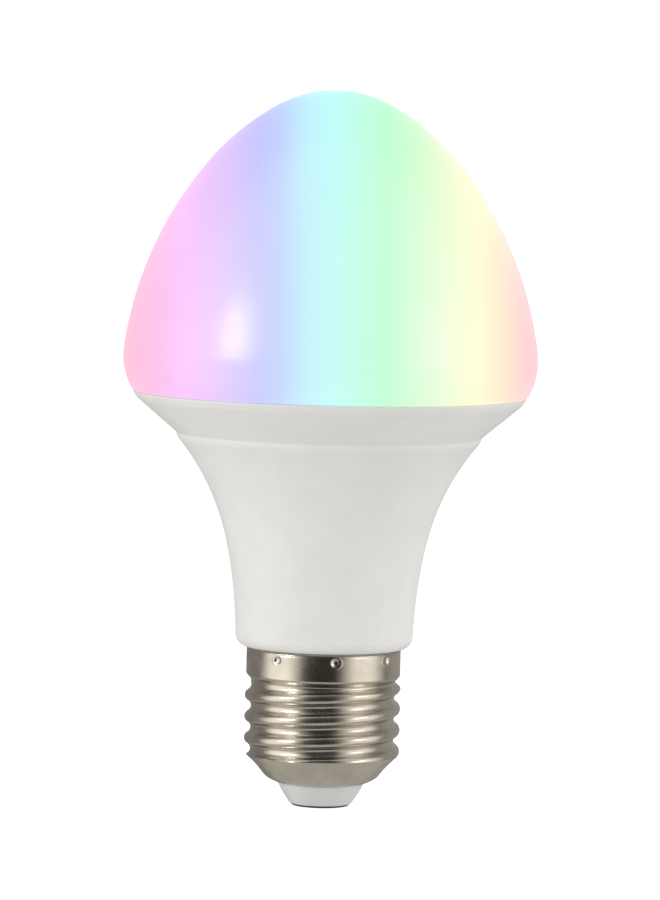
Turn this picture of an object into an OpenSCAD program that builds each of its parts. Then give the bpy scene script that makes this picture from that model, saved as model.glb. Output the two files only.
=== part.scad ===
// Retrofit smart light bulb with an E27 screw cap.
// The origin is the underside of the centre contact, on the axis, and +Z runs up to the dome.

/* [Dome] */
// Height of the seam between dome and housing
seam_z = 69.6; // [69.3:0.1:69.9]
// Radii of the dome's outer arcs, from the top down to the seam
dome_radii = [19.8, 43.2, 61.7, 11.6]; // [5:0.1:80]
// Degrees that each of those arcs turns
dome_turns = [30.5, 21.3, 30.7, 38.5]; // [15:0.1:45]
// Wall thickness of the dome
dome_wall = 1.2; // [1:0.05:1.5]

/* [Housing] */
// Length of the straight cone under the seam
cone_run = 8.15; // [8:0.05:8.3]
// Wall thickness of the housing
housing_wall = 1.4; // [1.2:0.05:1.5]
// Inner radius of the neck that goes into the cap
neck_bore_r = 10.5; // [10.4:0.05:10.6]
// Height of the neck's lower end
neck_z = 12; // [11.5:0.5:13]

/* [Screw cap] */
// Outer radius of the plain collar above the thread
collar_r = 13; // [12.9:0.05:13.1]
// Radius over the thread's crests
thread_major_r = 13.15; // [13.1:0.01:13.2]
// Radius at the thread's roots
thread_minor_r = 12.1; // [12.0:0.05:12.2]
// Rise of the thread in one turn
thread_pitch = 3.629; // [3.6:0.001:3.65]
// Height of one crest where it crosses the +X side
crest_z = 16.63; // [16.4:0.01:16.9]
// Thickness of the cap's sheet metal
cap_sheet = 0.35; // [0.3:0.01:0.4]
// Radius of the centre contact
contact_r = 4.95; // [4.7:0.05:5.1]

/* [LED board] */
// Radius of the LED board
led_board_r = 24; // [23.5:0.5:25]
// Number of white LEDs
white_count = 12; // [12]
// Number of colour LEDs
colour_count = 6; // [6]
// Radius of the ring of white LEDs
white_ring_r = 20; // [19.5:0.1:20.5]
// Radius of the ring of colour LEDs
colour_ring_r = 13.5; // [13:0.1:14]

/* [Driver] */
// Width of the driver board inside the sleeve
board_w = 22; // [21.5:0.1:22.2]
// Width of the driver board inside the neck
board_neck_w = 19.6; // [19:0.1:19.8]
// Thickness of the driver board
board_t = 1.2; // [1:0.1:1.4]
// Inner radius of the insulating sleeve
sleeve_bore_r = 11.75; // [11.6:0.05:11.8]

/* [Hidden] */

$fn = 64;
// Degrees between two points on an outline's arcs
arc_step = 3;
// Amount by which a cutting shape runs past what it cuts
over = 1;

// --- Outlines: chains of arcs and straight runs in the half plane (radius, height) ---

// Unit vectors across and along a curve at heading h, where 0 runs outward and 90 runs down
function across(h) = [sin(h), cos(h)];
function along(h) = [cos(h), -sin(h)];
// A run is an arc [radius, turn], with both negative where it turns outward, or [0, 0, length]
function is_straight(run) = run[1] == 0;
function part_of_run(p, h, run, s) = is_straight(run)
    ? p + s * run[2] * along(h)
    : p + run[0] * (across(h + s * run[1]) - across(h));
function run_steps(run) = is_straight(run) ? 1 : max(2, ceil(abs(run[1]) / arc_step));
function run_points(p, h, run) =
    let (n = run_steps(run)) [for (i = [1:n]) part_of_run(p, h, run, i / n)];
function chain(p, h, runs, i = 0) = i == len(runs)
    ? []
    : concat(run_points(p, h, runs[i]),
             chain(part_of_run(p, h, runs[i], 1), h + runs[i][1], runs, i + 1));
function inset_runs(runs, w) = [for (run = runs) is_straight(run) ? run : [run[0] - w, run[1]]];
// The curve that lies w inside the chain of runs from p
function curve(p, h, runs, w = 0) =
    let (q = p - w * across(h)) concat([q], chain(q, h, inset_runs(runs, w)));
function last(list) = list[len(list) - 1];
function sum(list, i = 0) = i == len(list) ? 0 : list[i] + sum(list, i + 1);

// Dome, from its top down to the seam
dome_runs = [for (i = [0:len(dome_radii) - 1]) [dome_radii[i], dome_turns[i]]];
dome_end = last(curve([0, 0], 0, dome_runs));
dome_top = [0, seam_z - dome_end[1]];
seam_heading = sum(dome_turns);
seam_r = dome_end[0];

// Housing, from the seam down: rim, cone, step, trumpet and bottom corner
rim_turn = 6.9;
rim_runs = [[11.6, rim_turn], [2.5, 139.9 - seam_heading - rim_turn], [0, 0, cone_run]];
step_runs = [[-0.3, -37.9], [2.8, 27.3]];
trumpet_runs = [[-40.9, -27.5], [-86.6, -10.1]];
wall_runs = concat(rim_runs, step_runs, trumpet_runs);
corner_r = 2;
corner_turn = 180 - seam_heading - sum([for (run = wall_runs) run[1]]);
housing_runs = concat(wall_runs, [[corner_r, corner_turn]]);
housing_end = last(curve([seam_r, seam_z], seam_heading, housing_runs));
housing_z = housing_end[1];

// Joint between dome and housing
lip_r = 27.5;
groove_r = [28.4, 30];
groove_z = 67.75;
skirt_r = [28.6, 29.8];
skirt_z = 67.9;
flange_z = seam_z + 1;

// Plates under the dome
plate_r = 27.2;
plate_z = 66.2;
plate_t = 1.5;
pad_z = plate_z + plate_t;
pad_t = 0.3;
led_z = pad_z + pad_t;
led_board_t = 1;
led_top_z = led_z + led_board_t;
opening = [18, 10];
screw_ring_r = 16.5;
screw_count = 3;
screw_r = 1.1;
screw_head_r = 2.2;

// Cap
collar_z = 22.5;
collar_top_z = housing_z - 0.2;
groove_floor_z = 21.3;
groove_floor_r = 12.4;
shell_join_z = 20.95;
bowl_top = [12.05, 7.8];
bowl_knee = [10.15, 5.9];
bowl_foot = [9.5, 4.8];
rim_end = [7.45, 3.9];
crimp_count = 8;
crimp_z = 25.5;
crimp_start = -81;
crimp_depth_r = 0.55;
neck_r = 11.45;
neck_collar_r = collar_r - cap_sheet - 0.05;
neck_floor_z = housing_z + 1.6;
contact_t = 0.4;
contact_edge_r = 0.3;
shank_r = 0.9;
shank_z = 8.6;
insulator_flange_r = 8.5;
insulator_top_z = 7.4;

// Thread section: equal crest and root arcs that meet a quarter pitch from the crest
thread_depth = thread_major_r - thread_minor_r;
thread_arc_r = (pow(thread_pitch / 4, 2) + pow(thread_depth / 2, 2)) / thread_depth;
thread_sides = 40;
thread_rows = 36;
thread_top_z = 21.2;
thread_bottom_z = 7.15;
thread_fade = 1.1;

// Driver
board_z = [10, 28.8, 58];
front_y = board_t / 2;
lead_r = 0.3;
sleeve_z = 61;
sleeve_wall = 0.75;
film_capacitor_at = [4.5, 35];
input_capacitor_at = [-5, 29.5];
output_capacitor_at = [4.6, 40];
choke_at = [-4.5, 31];
transformer_at = [0, 46.5];
transformer_y = front_y + 5;
resistor_at = [-4.5, 14.5];
varistor_at = [4.4, 15.5];
rectifier_at = [3.4, 24];
chip_at = [-3.4, 45.5];
header_at = [0, 55.4];
pin_xs = [-3, -1, 1, 3];
pin_y = -3;
pin_side = 0.6;
radio_y = 2.2;
radio_t = 0.8;
radio_z = [54, 77];
radio_w = 15;
radio_pin_xs = [-6, -4, 4, 6];
radio_pin_z = 55.3;

// Lead holes in the driver board as [x, z]: parts on the front, then parts on the back
front_leads = concat(
    [for (dx = [-1.25, 1.25]) [input_capacitor_at[0] + dx, input_capacitor_at[1] - 1]],
    [for (dz = [-3.75, 3.75]) film_capacitor_at + [0, dz]],
    [for (dx = [-3.6, -1.2, 1.2, 3.6], dz = [-5, 5]) transformer_at + [dx, dz]],
    [for (dz = [-1.5, 10.5]) resistor_at + [0, dz]],
    [for (dx = [-2, 2]) varistor_at + [dx, 0]]
);
back_leads = concat(
    [for (dx = [-1, 1]) output_capacitor_at + [dx, -1]],
    [for (dx = [-2, 2]) choke_at + [dx, -1]]
);
wire_pads = [[-3, 11.6], [3, 11.6]];
smd_places = [[5, 54, -1], [7.4, 54, -1], [-7.5, 52, -1], [-7.5, 49, -1], [-7.5, 46, -1],
              [1, 49, -1], [1, 46, -1], [1, 43, -1], [8.4, 51, 1], [8.4, 48, 1], [-8.4, 45, 1],
              [-8.4, 48, 1], [0, 26, -1], [-3, 20, -1], [0, 20, -1], [3, 20, -1]];

nickel = [0.72, 0.69, 0.65];
white = [0.93, 0.93, 0.91];

// --- Helpers ---

// Area between the axis and the curve w inside the housing's outside
module housing_area(w) {
    points = curve([seam_r, seam_z], seam_heading, housing_runs, w);
    polygon(concat([[0, points[0][1]]], points, [[0, last(points)[1]]]));
}

// Rectangle between two radii and two heights
module band(r, z) translate([r[0], z[0]]) square([r[1] - r[0], z[1] - z[0]]);

// Copies of the children around the axis
module around(count, r, start = 0)
    for (i = [0:count - 1]) rotate([0, 0, start + i * 360 / count]) translate([r, 0, 0]) children();

// Rectangle with round corners, centred
module rounded(size, r)
    union() {
        square([size[0] - 2 * r, size[1]], center = true);
        square([size[0], size[1] - 2 * r], center = true);
        for (x = [-1, 1], y = [-1, 1])
            translate([x * (size[0] / 2 - r), y * (size[1] / 2 - r)]) circle(r);
    }

// Box from its centre in x and z, standing on the driver board's front or back
module on_board(at, size, side = 1, lift = 0)
    translate([at[0] - size[0] / 2, side > 0 ? front_y + lift : -front_y - lift - size[1],
               at[1] - size[2] / 2])
        cube(size);

// Round bar along Y between two heights over the middle of the driver board
module bar_y(at, r, y) translate([at[0], y[0], at[1]]) rotate([-90, 0, 0]) cylinder(r = r, h = y[1] - y[0]);

// Lead that leaves a lying part downwards at height z and turns into the board
module bent_lead(x, z, drop, y, side) {
    translate([x, side * y, z - drop]) cylinder(r = lead_r, h = drop);
    translate([x, side * y, z - drop]) sphere(r = lead_r * 1.05);
    bar_y([x, z - drop], lead_r, side > 0 ? [-front_y, y] : [-y, front_y]);
}

// Point on a cubic curve with four control points
function bezier(c, t) = pow(1 - t, 3) * c[0] + 3 * pow(1 - t, 2) * t * c[1]
    + 3 * (1 - t) * t * t * c[2] + pow(t, 3) * c[3];
function unit(v) = v / norm(v);

// Wire of radius r along a cubic curve, as one closed polyhedron
module wire(c, r, steps = 16, sides = 10) {
    path = [for (i = [0:steps]) bezier(c, i / steps)];
    function heading(i) = unit(path[min(steps, i + 1)] - path[max(0, i - 1)]);
    function ring(i) = let (d = heading(i), u = unit(cross(d, [0.1, 1, 0.2])), v = cross(d, u))
        [for (k = [0:sides - 1])
            path[i] + r * cos(k * 360 / sides) * u + r * sin(k * 360 / sides) * v];
    points = [for (i = [0:steps]) each ring(i)];
    function at(i, k) = i * sides + k % sides;
    walls = [for (i = [0:steps - 1], k = [0:sides - 1])
        each [[at(i, k), at(i + 1, k), at(i + 1, k + 1)], [at(i, k), at(i + 1, k + 1), at(i, k + 1)]]];
    ends = [[for (k = [0:sides - 1]) at(0, k)], [for (k = [0:sides - 1]) at(steps, sides - 1 - k)]];
    polyhedron(points, concat(walls, ends));
}

// --- Outside ---

// Shell with a flange above the seam and a skirt that stands in the housing's groove
module diffuser_dome() color([0.8, 0.88, 1]) {
    inside = [for (p = curve(dome_top, 0, dome_runs, dome_wall)) if (p[1] > flange_z + 0.2) p];
    rotate_extrude() polygon(concat(
        curve(dome_top, 0, dome_runs),
        [[skirt_r[1], seam_z], [skirt_r[1], skirt_z], [skirt_r[0], skirt_z], [skirt_r[0], flange_z],
         [last(inside)[0], flange_z]],
        [for (i = [len(inside) - 1:-1:0]) inside[i]]));
}

// Bead of silicone in the corner between the housing's lip and the dome's flange
module dome_seal() color([0.9, 0.9, 0.88])
    rotate_extrude()
        intersection() {
            band([lip_r, skirt_r[0]], [seam_z, flange_z]);
            translate([skirt_r[0], seam_z]) circle(0.85);
        }

module housing() color(white)
    difference() {
        union() {
            rotate_extrude() difference() {
                union() {
                    housing_area(0);
                    band([0, neck_collar_r], [collar_z + 0.2, housing_z + over]);
                    polygon([[0, groove_floor_z + 0.2], [neck_r, groove_floor_z + 0.2],
                             [neck_collar_r, collar_z + 0.3], [0, collar_z + 0.3]]);
                    band([0, neck_r], [neck_z, groove_floor_z + over]);
                }
                intersection() {
                    housing_area(housing_wall);
                    band([-over, seam_r], [neck_floor_z, plate_z]);
                }
                band([-over, lip_r], [plate_z - 0.05, seam_z + over]);
                band(groove_r, [groove_z, seam_z + over]);
                band([-over, neck_bore_r], [neck_z - over, neck_floor_z + over]);
            }
            neck_rails();
        }
        around(crimp_count, collar_r + crimp_depth_r, crimp_start) translate([0, 0, crimp_z]) sphere(1.3);
        translate([neck_r, 0, neck_z + 3]) cube([1.8, 1.4, 8], center = true);
    }

// Two pairs of ribs that hold the driver board's edges in the neck
module neck_rails()
    for (x = [-1, 1], y = [-1, 1])
        translate([x * (neck_bore_r - 0.4), y * 1.2, (neck_z + neck_floor_z) / 2])
            cube([1.4, 0.8, neck_floor_z - neck_z - 0.4], center = true);

// --- Heat path and LED board ---

module heat_sink_cup() color("silver")
    rotate_extrude() intersection() {
        difference() {
            housing_area(housing_wall + 0.1);
            housing_area(housing_wall + 0.9);
        }
        band([0, seam_r], [housing_z + 4.5, plate_z - 0.05]);
    }

module screw_holes(r) around(screw_count, screw_ring_r, 90) circle(r);

module mounting_plate() color("silver")
    translate([0, 0, plate_z]) linear_extrude(plate_t) difference() {
        circle(plate_r);
        rounded(opening, 2);
        screw_holes(screw_r + 0.05);
    }

module thermal_pad() color([0.55, 0.6, 0.62])
    translate([0, 0, pad_z]) linear_extrude(pad_t) difference() {
        circle(led_board_r);
        rounded(opening, 2);
        screw_holes(screw_r + 0.3);
    }

module led_board() color([0.96, 0.96, 0.95])
    translate([0, 0, led_z]) linear_extrude(led_board_t) difference() {
        circle(led_board_r);
        translate([0, radio_y + radio_t / 2]) square([radio_w + 0.6, radio_t + 0.6], center = true);
        translate([0, pin_y]) square([8, 1.6], center = true);
        screw_holes(screw_r + 0.25);
    }

module white_leds() color("white")
    around(white_count, white_ring_r, 15) translate([0, 0, led_top_z])
        difference() {
            translate([-1.4, -1.75, 0]) cube([2.8, 3.5, 0.8]);
            translate([0, 0, 0.5]) linear_extrude(over) rounded([2.2, 2.9], 0.4);
        }

module white_led_phosphors() color([1, 0.85, 0.2])
    around(white_count, white_ring_r, 15) translate([0, 0, led_top_z + 0.5])
        linear_extrude(0.28) rounded([2.16, 2.86], 0.38);

module colour_leds() color("white")
    around(colour_count, colour_ring_r) translate([0, 0, led_top_z])
        difference() {
            translate([-2.5, -2.5, 0]) cube([5, 5, 1.6]);
            translate([0, 0, 1]) cylinder(r = 2, h = over);
        }

module colour_led_windows() color([0.9, 0.9, 0.95])
    around(colour_count, colour_ring_r) translate([0, 0, led_top_z + 1]) cylinder(r = 1.98, h = 0.55);

// Pan head screws with a cross recess
module led_board_screws() color("gray")
    around(screw_count, screw_ring_r, 90) {
        translate([0, 0, plate_z + 0.1]) cylinder(r = screw_r, h = led_top_z - plate_z);
        difference() {
            translate([0, 0, led_top_z]) rotate_extrude() polygon(concat(
                [[0, 0], [screw_head_r, 0]],
                [for (a = [0:15:90]) [screw_head_r - 0.6 + 0.6 * cos(a), 0.7 + 0.6 * sin(a)]],
                [[0, 1.4]]));
            for (a = [0, 90]) rotate([0, 0, a]) translate([0, 0, led_top_z + 1.1])
                cube([2.2, 0.5, 1], center = true);
        }
    }

module board_socket() color(white)
    difference() {
        translate([-5, pin_y - 1.6, led_top_z]) cube([10, 3.2, 3.2]);
        for (x = pin_xs) translate([x, pin_y, led_top_z]) cube([0.8, 0.8, 8], center = true);
    }

// --- Links between the boards ---

module driver_pins() color("gold")
    for (x = pin_xs) {
        translate([x - pin_side / 2, pin_y - pin_side / 2, header_at[1] - pin_side / 2])
            cube([pin_side, pin_side, led_top_z + 2.6 - header_at[1]]);
        translate([x - pin_side / 2, pin_y, header_at[1] - pin_side / 2])
            cube([pin_side, front_y + 0.4 - pin_y, pin_side]);
    }

module pin_header() color([0.1, 0.1, 0.1])
    difference() {
        on_board(header_at, [8.4, 3.4, 2.4], -1);
        for (x = pin_xs) {
            translate([x, pin_y, header_at[1] + 1]) cube([0.7, 0.7, 3], center = true);
            translate([x, pin_y / 2, header_at[1]]) cube([0.7, -pin_y + 0.7, 0.7], center = true);
        }
    }

module radio_board() color([0.1, 0.15, 0.3])
    difference() {
        translate([-radio_w / 2, radio_y, radio_z[0]])
            cube([radio_w, radio_t, radio_z[1] - radio_z[0]]);
        for (x = radio_pin_xs) bar_y([x, radio_pin_z], 0.4, [radio_y - over, radio_y + 2 * over]);
    }

module radio_shield() color("silver")
    difference() {
        translate([-5.8, radio_y + radio_t, 57]) cube([11.6, 2.2, 8.6]);
        translate([-5.55, radio_y + radio_t - over, 57.25]) cube([11.1, 1.95 + over, 8.1]);
    }

module radio_chip() color([0.12, 0.12, 0.12])
    translate([-2.5, radio_y + radio_t, 58.8]) cube([5, 0.9, 5]);

// Copper track that runs to and fro at the top of the radio board
module radio_antenna() color([0.8, 0.5, 0.3])
    for (i = [0:5]) translate([-6 + 2 * i, radio_y + radio_t, 70.5]) {
        cube([0.6, 0.05, 5]);
        translate([0, 0, i % 2 == 0 ? 4.4 : 0]) cube([2.6, 0.05, 0.6]);
    }

module radio_pins() color("gold")
    for (x = radio_pin_xs) bar_y([x, radio_pin_z], 0.3, [-front_y, radio_y + radio_t + 0.6]);

// --- Driver ---

// Tube that insulates the driver from the aluminium, with ribs for the board's edges
module driver_sleeve() color([0.9, 0.9, 0.88]) {
    outer_r = sleeve_bore_r + sleeve_wall;
    translate([0, 0, neck_floor_z]) linear_extrude(sleeve_z - neck_floor_z) {
        difference() {
            circle(outer_r);
            circle(sleeve_bore_r);
        }
        for (x = [-1, 1], y = [-1, 1]) intersection() {
            translate([x * sleeve_bore_r, y * 1.2]) square([3.2, 0.8], center = true);
            circle(sleeve_bore_r + sleeve_wall / 2);
        }
    }
    rotate_extrude() polygon([[outer_r - 0.2, sleeve_z - 3], [outer_r + 3, sleeve_z - 0.8],
                              [outer_r + 3, sleeve_z], [outer_r - 0.2, sleeve_z]]);
}

module driver_board() color([0.15, 0.45, 0.25])
    rotate([90, 0, 0]) linear_extrude(board_t, center = true) difference() {
        union() {
            translate([-board_neck_w / 2, board_z[0]])
                square([board_neck_w, board_z[2] - board_z[0]]);
            translate([-board_w / 2, board_z[1]]) square([board_w, board_z[2] - board_z[1]]);
        }
        for (p = concat(front_leads, back_leads, wire_pads)) translate(p) circle(lead_r + 0.15);
        for (x = radio_pin_xs) translate([x, radio_pin_z]) circle(0.4);
        for (x = pin_xs) translate([x, header_at[1]]) square(pin_side + 0.2, center = true);
    }

module rectifier() color([0.1, 0.1, 0.1]) {
    on_board(rectifier_at, [4.7, 2.3, 3.9], 1, 0.2);
    for (x = [-1.25, 1.25], z = [-1, 1])
        on_board(rectifier_at + [x, z * 2.6], [0.7, 0.25, 1.6]);
}

module driver_chip() color([0.1, 0.1, 0.1]) {
    on_board(chip_at, [3.9, 1.4, 4.9], -1, 0.1);
    for (x = [-1, 1], z = [-1.9, -0.63, 0.63, 1.9])
        on_board(chip_at + [x * 2.5, z], [1.2, 0.25, 0.42], -1);
}

// Aluminium can with a rolled groove above its seal, lying along the board
module electrolytic(r, h) rotate_extrude() difference() {
    band([0, r], [0, h]);
    translate([r + 0.25, 1.6]) circle(0.55);
    band([-over, r - 0.8], [h - 0.25, h + over]);
}

module input_capacitor() color([0.15, 0.2, 0.35]) {
    translate([input_capacitor_at[0], front_y + 4.2, input_capacitor_at[1]]) electrolytic(4, 11);
    for (dx = [-1.25, 1.25])
        bent_lead(input_capacitor_at[0] + dx, input_capacitor_at[1], 1, front_y + 4.2, 1);
}

module output_capacitor() color([0.1, 0.1, 0.12]) {
    translate([output_capacitor_at[0], -front_y - 3.4, output_capacitor_at[1]])
        electrolytic(3.15, 10.5);
    for (dx = [-1, 1])
        bent_lead(output_capacitor_at[0] + dx, output_capacitor_at[1], 1, front_y + 3.4, -1);
}

module film_capacitor() color([0.85, 0.7, 0.1]) {
    on_board(film_capacitor_at, [5, 7.4, 10], 1, 0.3);
    for (dz = [-3.75, 3.75]) bar_y(film_capacitor_at + [0, dz], lead_r, [-front_y, front_y + 0.5]);
}

module transformer_place() translate([transformer_at[0], transformer_y, transformer_at[1]]) children();

// Two E cores face to face: outer frame and round centre leg
module transformer_core() color([0.25, 0.25, 0.27])
    transformer_place() {
        difference() {
            cube([10.4, 4.6, 10.4], center = true);
            cube([8, 6, 7.4], center = true);
        }
        cylinder(r = 1.5, h = 8.4, center = true);
    }

module transformer_bobbin() color([0.1, 0.1, 0.1])
    difference() {
        union() {
            transformer_place() {
                cylinder(r = 2.1, h = 7, center = true);
                for (z = [-3.35, 3.35]) translate([0, 0, z]) cylinder(r = 3.8, h = 0.5, center = true);
            }
            for (side = [-1, 1]) {
                on_board(transformer_at + [0, side * 4.45], [8.8, 2.3, 2.7], 1, 0.1);
                for (dx = [-3.6, -1.2, 1.2, 3.6])
                    bar_y(transformer_at + [dx, side * 5], lead_r, [-front_y, front_y + 1]);
            }
        }
        transformer_place() cylinder(r = 1.6, h = 12, center = true);
    }

module transformer_winding() color([0.95, 0.8, 0.2])
    transformer_place() difference() {
        cylinder(r = 3.6, h = 6.1, center = true);
        cylinder(r = 2.15, h = 8, center = true);
    }

// Drum core choke on the back of the board
module choke_core() color([0.22, 0.22, 0.24]) {
    translate([choke_at[0], -front_y - 3.7, choke_at[1]]) rotate_extrude()
        polygon([[0, 0], [3.5, 0], [3.5, 1.2], [1.6, 1.2], [1.6, 6.8], [3.5, 6.8], [3.5, 8], [0, 8]]);
    for (dx = [-2, 2]) bent_lead(choke_at[0] + dx, choke_at[1], 1, front_y + 3.7, -1);
}

module choke_winding() color([0.75, 0.4, 0.2])
    translate([choke_at[0], -front_y - 3.7, choke_at[1] + 1.25]) rotate_extrude()
        band([1.65, 3.1], [0, 5.5]);

module fusible_resistor() color([0.35, 0.5, 0.4]) {
    translate([resistor_at[0], front_y + 2.2, resistor_at[1]]) rotate_extrude()
        polygon([[0, 0], [1.5, 0], [1.8, 0.4], [1.8, 1.6], [1.5, 2], [1.5, 7], [1.8, 7.4],
                 [1.8, 8.6], [1.5, 9], [0, 9]]);
    bent_lead(resistor_at[0], resistor_at[1] + 0.1, 1.6, front_y + 2.2, 1);
    translate([resistor_at[0], 0, 2 * resistor_at[1] + 9]) mirror([0, 0, 1])
        bent_lead(0, resistor_at[1] + 0.1, 1.6, front_y + 2.2, 1);
}

module varistor() color([0.15, 0.35, 0.7])
    translate([varistor_at[0], 0, varistor_at[1]]) {
        translate([0, front_y + 1.2, 0]) rotate([-90, 0, 0]) rotate_extrude() polygon(concat([[0, 0]],
            [for (a = [-90:15:90]) [2.4 + 1.1 * cos(a), 1.1 + 1.1 * sin(a)]], [[0, 2.2]]));
        for (dx = [-2, 2]) bar_y([dx, 0], lead_r, [-front_y, front_y + 1.6]);
    }

module smd_parts() color([0.3, 0.25, 0.2])
    for (p = smd_places) on_board([p[0], p[1]], [0.9, 0.5, 1.7], p[2]);

module solder_joints() color([0.75, 0.76, 0.78]) {
    for (p = front_leads) translate([p[0], -front_y, p[1]]) rotate([90, 0, 0])
        cylinder(r1 = 0.85, r2 = 0.25, h = 0.7);
    for (p = back_leads) translate([p[0], front_y, p[1]]) rotate([-90, 0, 0])
        cylinder(r1 = 0.85, r2 = 0.25, h = 0.7);
    for (p = wire_pads) translate([p[0], -front_y, p[1]]) rotate([90, 0, 0])
        cylinder(r1 = 0.95, r2 = 0.3, h = 0.8);
}

// From the tip of the centre contact's shank to its pad on the driver board
module live_wire() color("firebrick")
    wire([[0, 0.2, shank_z + 0.05], [0.3, 3.2, shank_z + 2], [-3, 5, board_z[0] + 2],
          [wire_pads[0][0], -front_y, wire_pads[0][1]]], 0.4);

// From the groove in the neck, where the cap clamps it, to its pad on the driver board
module neutral_wire() color("ivory")
    wire([[neck_r - 0.35, 0, neck_z + 6], [neck_r - 0.3, 0, neck_z - 6.5], [3, 5.5, neck_z - 4],
          [wire_pads[1][0], -front_y, wire_pads[1][1]]], 0.4);

// --- Cap ---

// Radius of the thread's outside at an axial distance u from the nearest crest
function thread_r(u) = abs(u) <= thread_pitch / 4
    ? thread_major_r - thread_arc_r + sqrt(pow(thread_arc_r, 2) - u * u)
    : thread_minor_r + thread_arc_r
        - sqrt(pow(thread_arc_r, 2) - pow(thread_pitch / 2 - abs(u), 2));
function turns_from_crest(angle, z) = (z - crest_z) / thread_pitch - angle / 360;
function crest_offset(angle, z) =
    let (t = turns_from_crest(angle, z)) (t - floor(t + 0.5)) * thread_pitch;
// The thread runs out in the groove above, and the cone of the cap's foot cuts it off below
function fade(z) = min(1, max(0, (thread_top_z - z) / thread_fade));
function foot_r(z) = bowl_top[0]
    + (z - bowl_top[1]) * (bowl_top[0] - bowl_knee[0]) / (bowl_top[1] - bowl_knee[1]);
function skin_r(angle, z) = min(foot_r(z),
    thread_minor_r + fade(z) * (thread_r(crest_offset(angle, z)) - thread_minor_r));

// Threaded sheet between the collar and the foot, as one closed polyhedron
module thread_skin() {
    n = thread_sides;
    heights = [for (j = [0:thread_rows])
        thread_bottom_z + j * (thread_top_z - thread_bottom_z) / thread_rows];
    function ring(z, inset) = [for (i = [0:n - 1])
        let (a = i * 360 / n, r = skin_r(a, z) - inset) [r * cos(a), r * sin(a), z]];
    points = concat([for (z = heights) each ring(z, 0.06)], [for (z = heights) each ring(z, cap_sheet)]);
    inner = (thread_rows + 1) * n;
    function at(j, i, base) = base + j * n + i % n;
    function quad(a, b, c, d) = [[a, b, c], [a, c, d]];
    outside = [for (j = [0:thread_rows - 1], i = [0:n - 1])
        each quad(at(j, i, 0), at(j + 1, i, 0), at(j + 1, i + 1, 0), at(j, i + 1, 0))];
    inside = [for (j = [0:thread_rows - 1], i = [0:n - 1])
        each quad(at(j, i, inner), at(j, i + 1, inner), at(j + 1, i + 1, inner), at(j + 1, i, inner))];
    bottom = [for (i = [0:n - 1])
        each quad(at(0, i, 0), at(0, i + 1, 0), at(0, i + 1, inner), at(0, i, inner))];
    j = thread_rows;
    top = [for (i = [0:n - 1])
        each quad(at(j, i, 0), at(j, i, inner), at(j, i + 1, inner), at(j, i + 1, 0))];
    polyhedron(points, concat(outside, inside, bottom, top));
}

// Collar and groove above the thread
module collar_band() {
    inner_r = collar_r - cap_sheet;
    rotate_extrude() polygon([[inner_r, collar_top_z], [collar_r - 0.1, collar_top_z],
        [collar_r, collar_top_z - 0.1], [collar_r, collar_z], [groove_floor_r, groove_floor_z],
        [groove_floor_r, shell_join_z], [thread_minor_r - 0.5, shell_join_z],
        [thread_minor_r - 0.5, groove_floor_z], [inner_r, collar_z + 0.2]]);
}

// Foot of the cap, from under the thread round to the rim that holds the insulator
module foot() rotate_extrude() difference() {
    polygon([[0, bowl_top[1]], bowl_top, bowl_knee, bowl_foot, rim_end, [0, rim_end[1]]]);
    polygon([[-over, bowl_top[1] + over], [bowl_top[0] - 0.5, bowl_top[1] + over],
             [bowl_top[0] - 0.5, bowl_top[1]], bowl_knee + [-0.3, 0.4], bowl_foot + [-0.2, 0.45],
             [rim_end[0], rim_end[1] + 0.4], [rim_end[0], 0], [-over, 0]]);
}

// Bumps inside the collar that bite into the neck
module crimp_bumps() intersection() {
    around(crimp_count, collar_r + crimp_depth_r, crimp_start) translate([0, 0, crimp_z]) sphere(1.2);
    cylinder(r = collar_r - 0.1, h = collar_top_z - 0.05);
}

module screw_shell() color(nickel)
    difference() {
        union() {
            collar_band();
            thread_skin();
            foot();
            crimp_bumps();
        }
        around(crimp_count, collar_r + crimp_depth_r, crimp_start) translate([0, 0, crimp_z]) sphere(0.9);
    }

module base_insulator() color([0.85, 0.86, 0.88])
    rotate_extrude() difference() {
        union() {
            intersection() {
                band([0, rim_end[0] - 0.03], [contact_t, 5.6]);
                polygon([[0, 0], [contact_r, 0], [contact_r + 0.8, 1], [contact_r + 1.5, 2],
                         [rim_end[0] + 0.2, rim_end[1] + 0.1], [rim_end[0] + 0.2, 6], [0, 6]]);
            }
            band([0, insulator_flange_r], [4.95, insulator_top_z]);
            band([0, 3.2], [insulator_top_z - over, insulator_top_z + 0.8]);
        }
        band([-over, shank_r + 0.02], [0, 12]);
    }

// Head and shank in one piece, pressed up through the insulator
module centre_contact() color([0.6, 0.55, 0.48])
    rotate_extrude() polygon(concat(
        [[0, 0]],
        [for (a = [0:15:90]) [contact_r, contact_edge_r] + contact_edge_r * [sin(a) - 1, -cos(a)]],
        [[contact_r, contact_t - 0.02], [shank_r, contact_t - 0.02], [shank_r, shank_z - 0.5],
         [0.4, shank_z], [0, shank_z]]));

diffuser_dome();
dome_seal();
housing();
heat_sink_cup();
mounting_plate();
thermal_pad();
led_board();
white_leds();
white_led_phosphors();
colour_leds();
colour_led_windows();
led_board_screws();
board_socket();
driver_pins();
pin_header();
radio_board();
radio_shield();
radio_chip();
radio_antenna();
radio_pins();
driver_sleeve();
driver_board();
rectifier();
driver_chip();
input_capacitor();
output_capacitor();
film_capacitor();
transformer_core();
transformer_bobbin();
transformer_winding();
choke_core();
choke_winding();
fusible_resistor();
varistor();
smd_parts();
solder_joints();
live_wire();
neutral_wire();
screw_shell();
base_insulator();
centre_contact();
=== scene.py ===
"""Looks of the smart light bulb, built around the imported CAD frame.

The outlines repeat the CAD model's driving dimensions, in millimetres, at a finer step. Materials and
everything that is placed in the scene are in metres, in the row frame."""

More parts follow.
